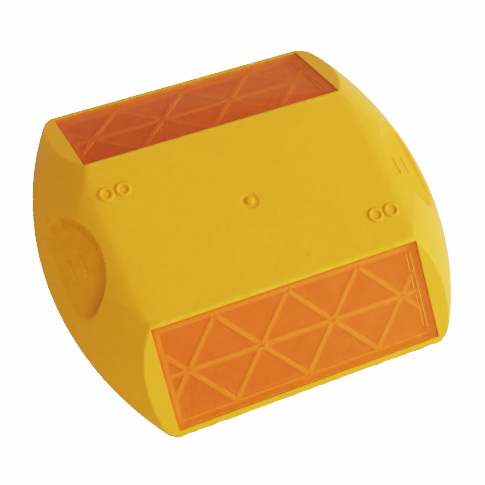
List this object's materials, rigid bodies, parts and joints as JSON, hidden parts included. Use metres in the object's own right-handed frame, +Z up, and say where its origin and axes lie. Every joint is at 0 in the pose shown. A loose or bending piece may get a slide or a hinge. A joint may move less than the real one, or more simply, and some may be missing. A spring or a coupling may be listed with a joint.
{
  "type": "raised pavement marker",
  "caption": "Low two-way raised pavement marker: yellow moulded casing with curved flanks and finger grips, amber reflex lenses on both sloping ends, resin filled.",
  "frame": {"origin": "middle of the flat base, on the road surface", "axes": "+Z up from the road, X across the lane along the lenses, Y with the traffic: the front lens faces -Y and the rear lens +Y"},
  "size_m": [0.1016, 0.0888, 0.0148],
  "materials": {
    "casing": "yellow, satin moulded ABS",
    "lens": "amber, clear and polished",
    "prism": "amber micro-prisms",
    "lens_back": "amber, satin",
    "resin": "matt filled resin",
    "glass_fibre": "matt chopped-strand mat",
    "grit": "rough grit"
  },
  "bodies": {
    "root": {"body_shell": "casing", "front_lens": "lens", "rear_lens": "lens", "front_prism_panels": "prism", "rear_prism_panels": "prism", "front_lens_back": "lens_back", "rear_lens_back": "lens_back", "potting_core": "resin", "glass_mat": "glass_fibre", "base_grit": "grit"}
  },
  "joints": []
}
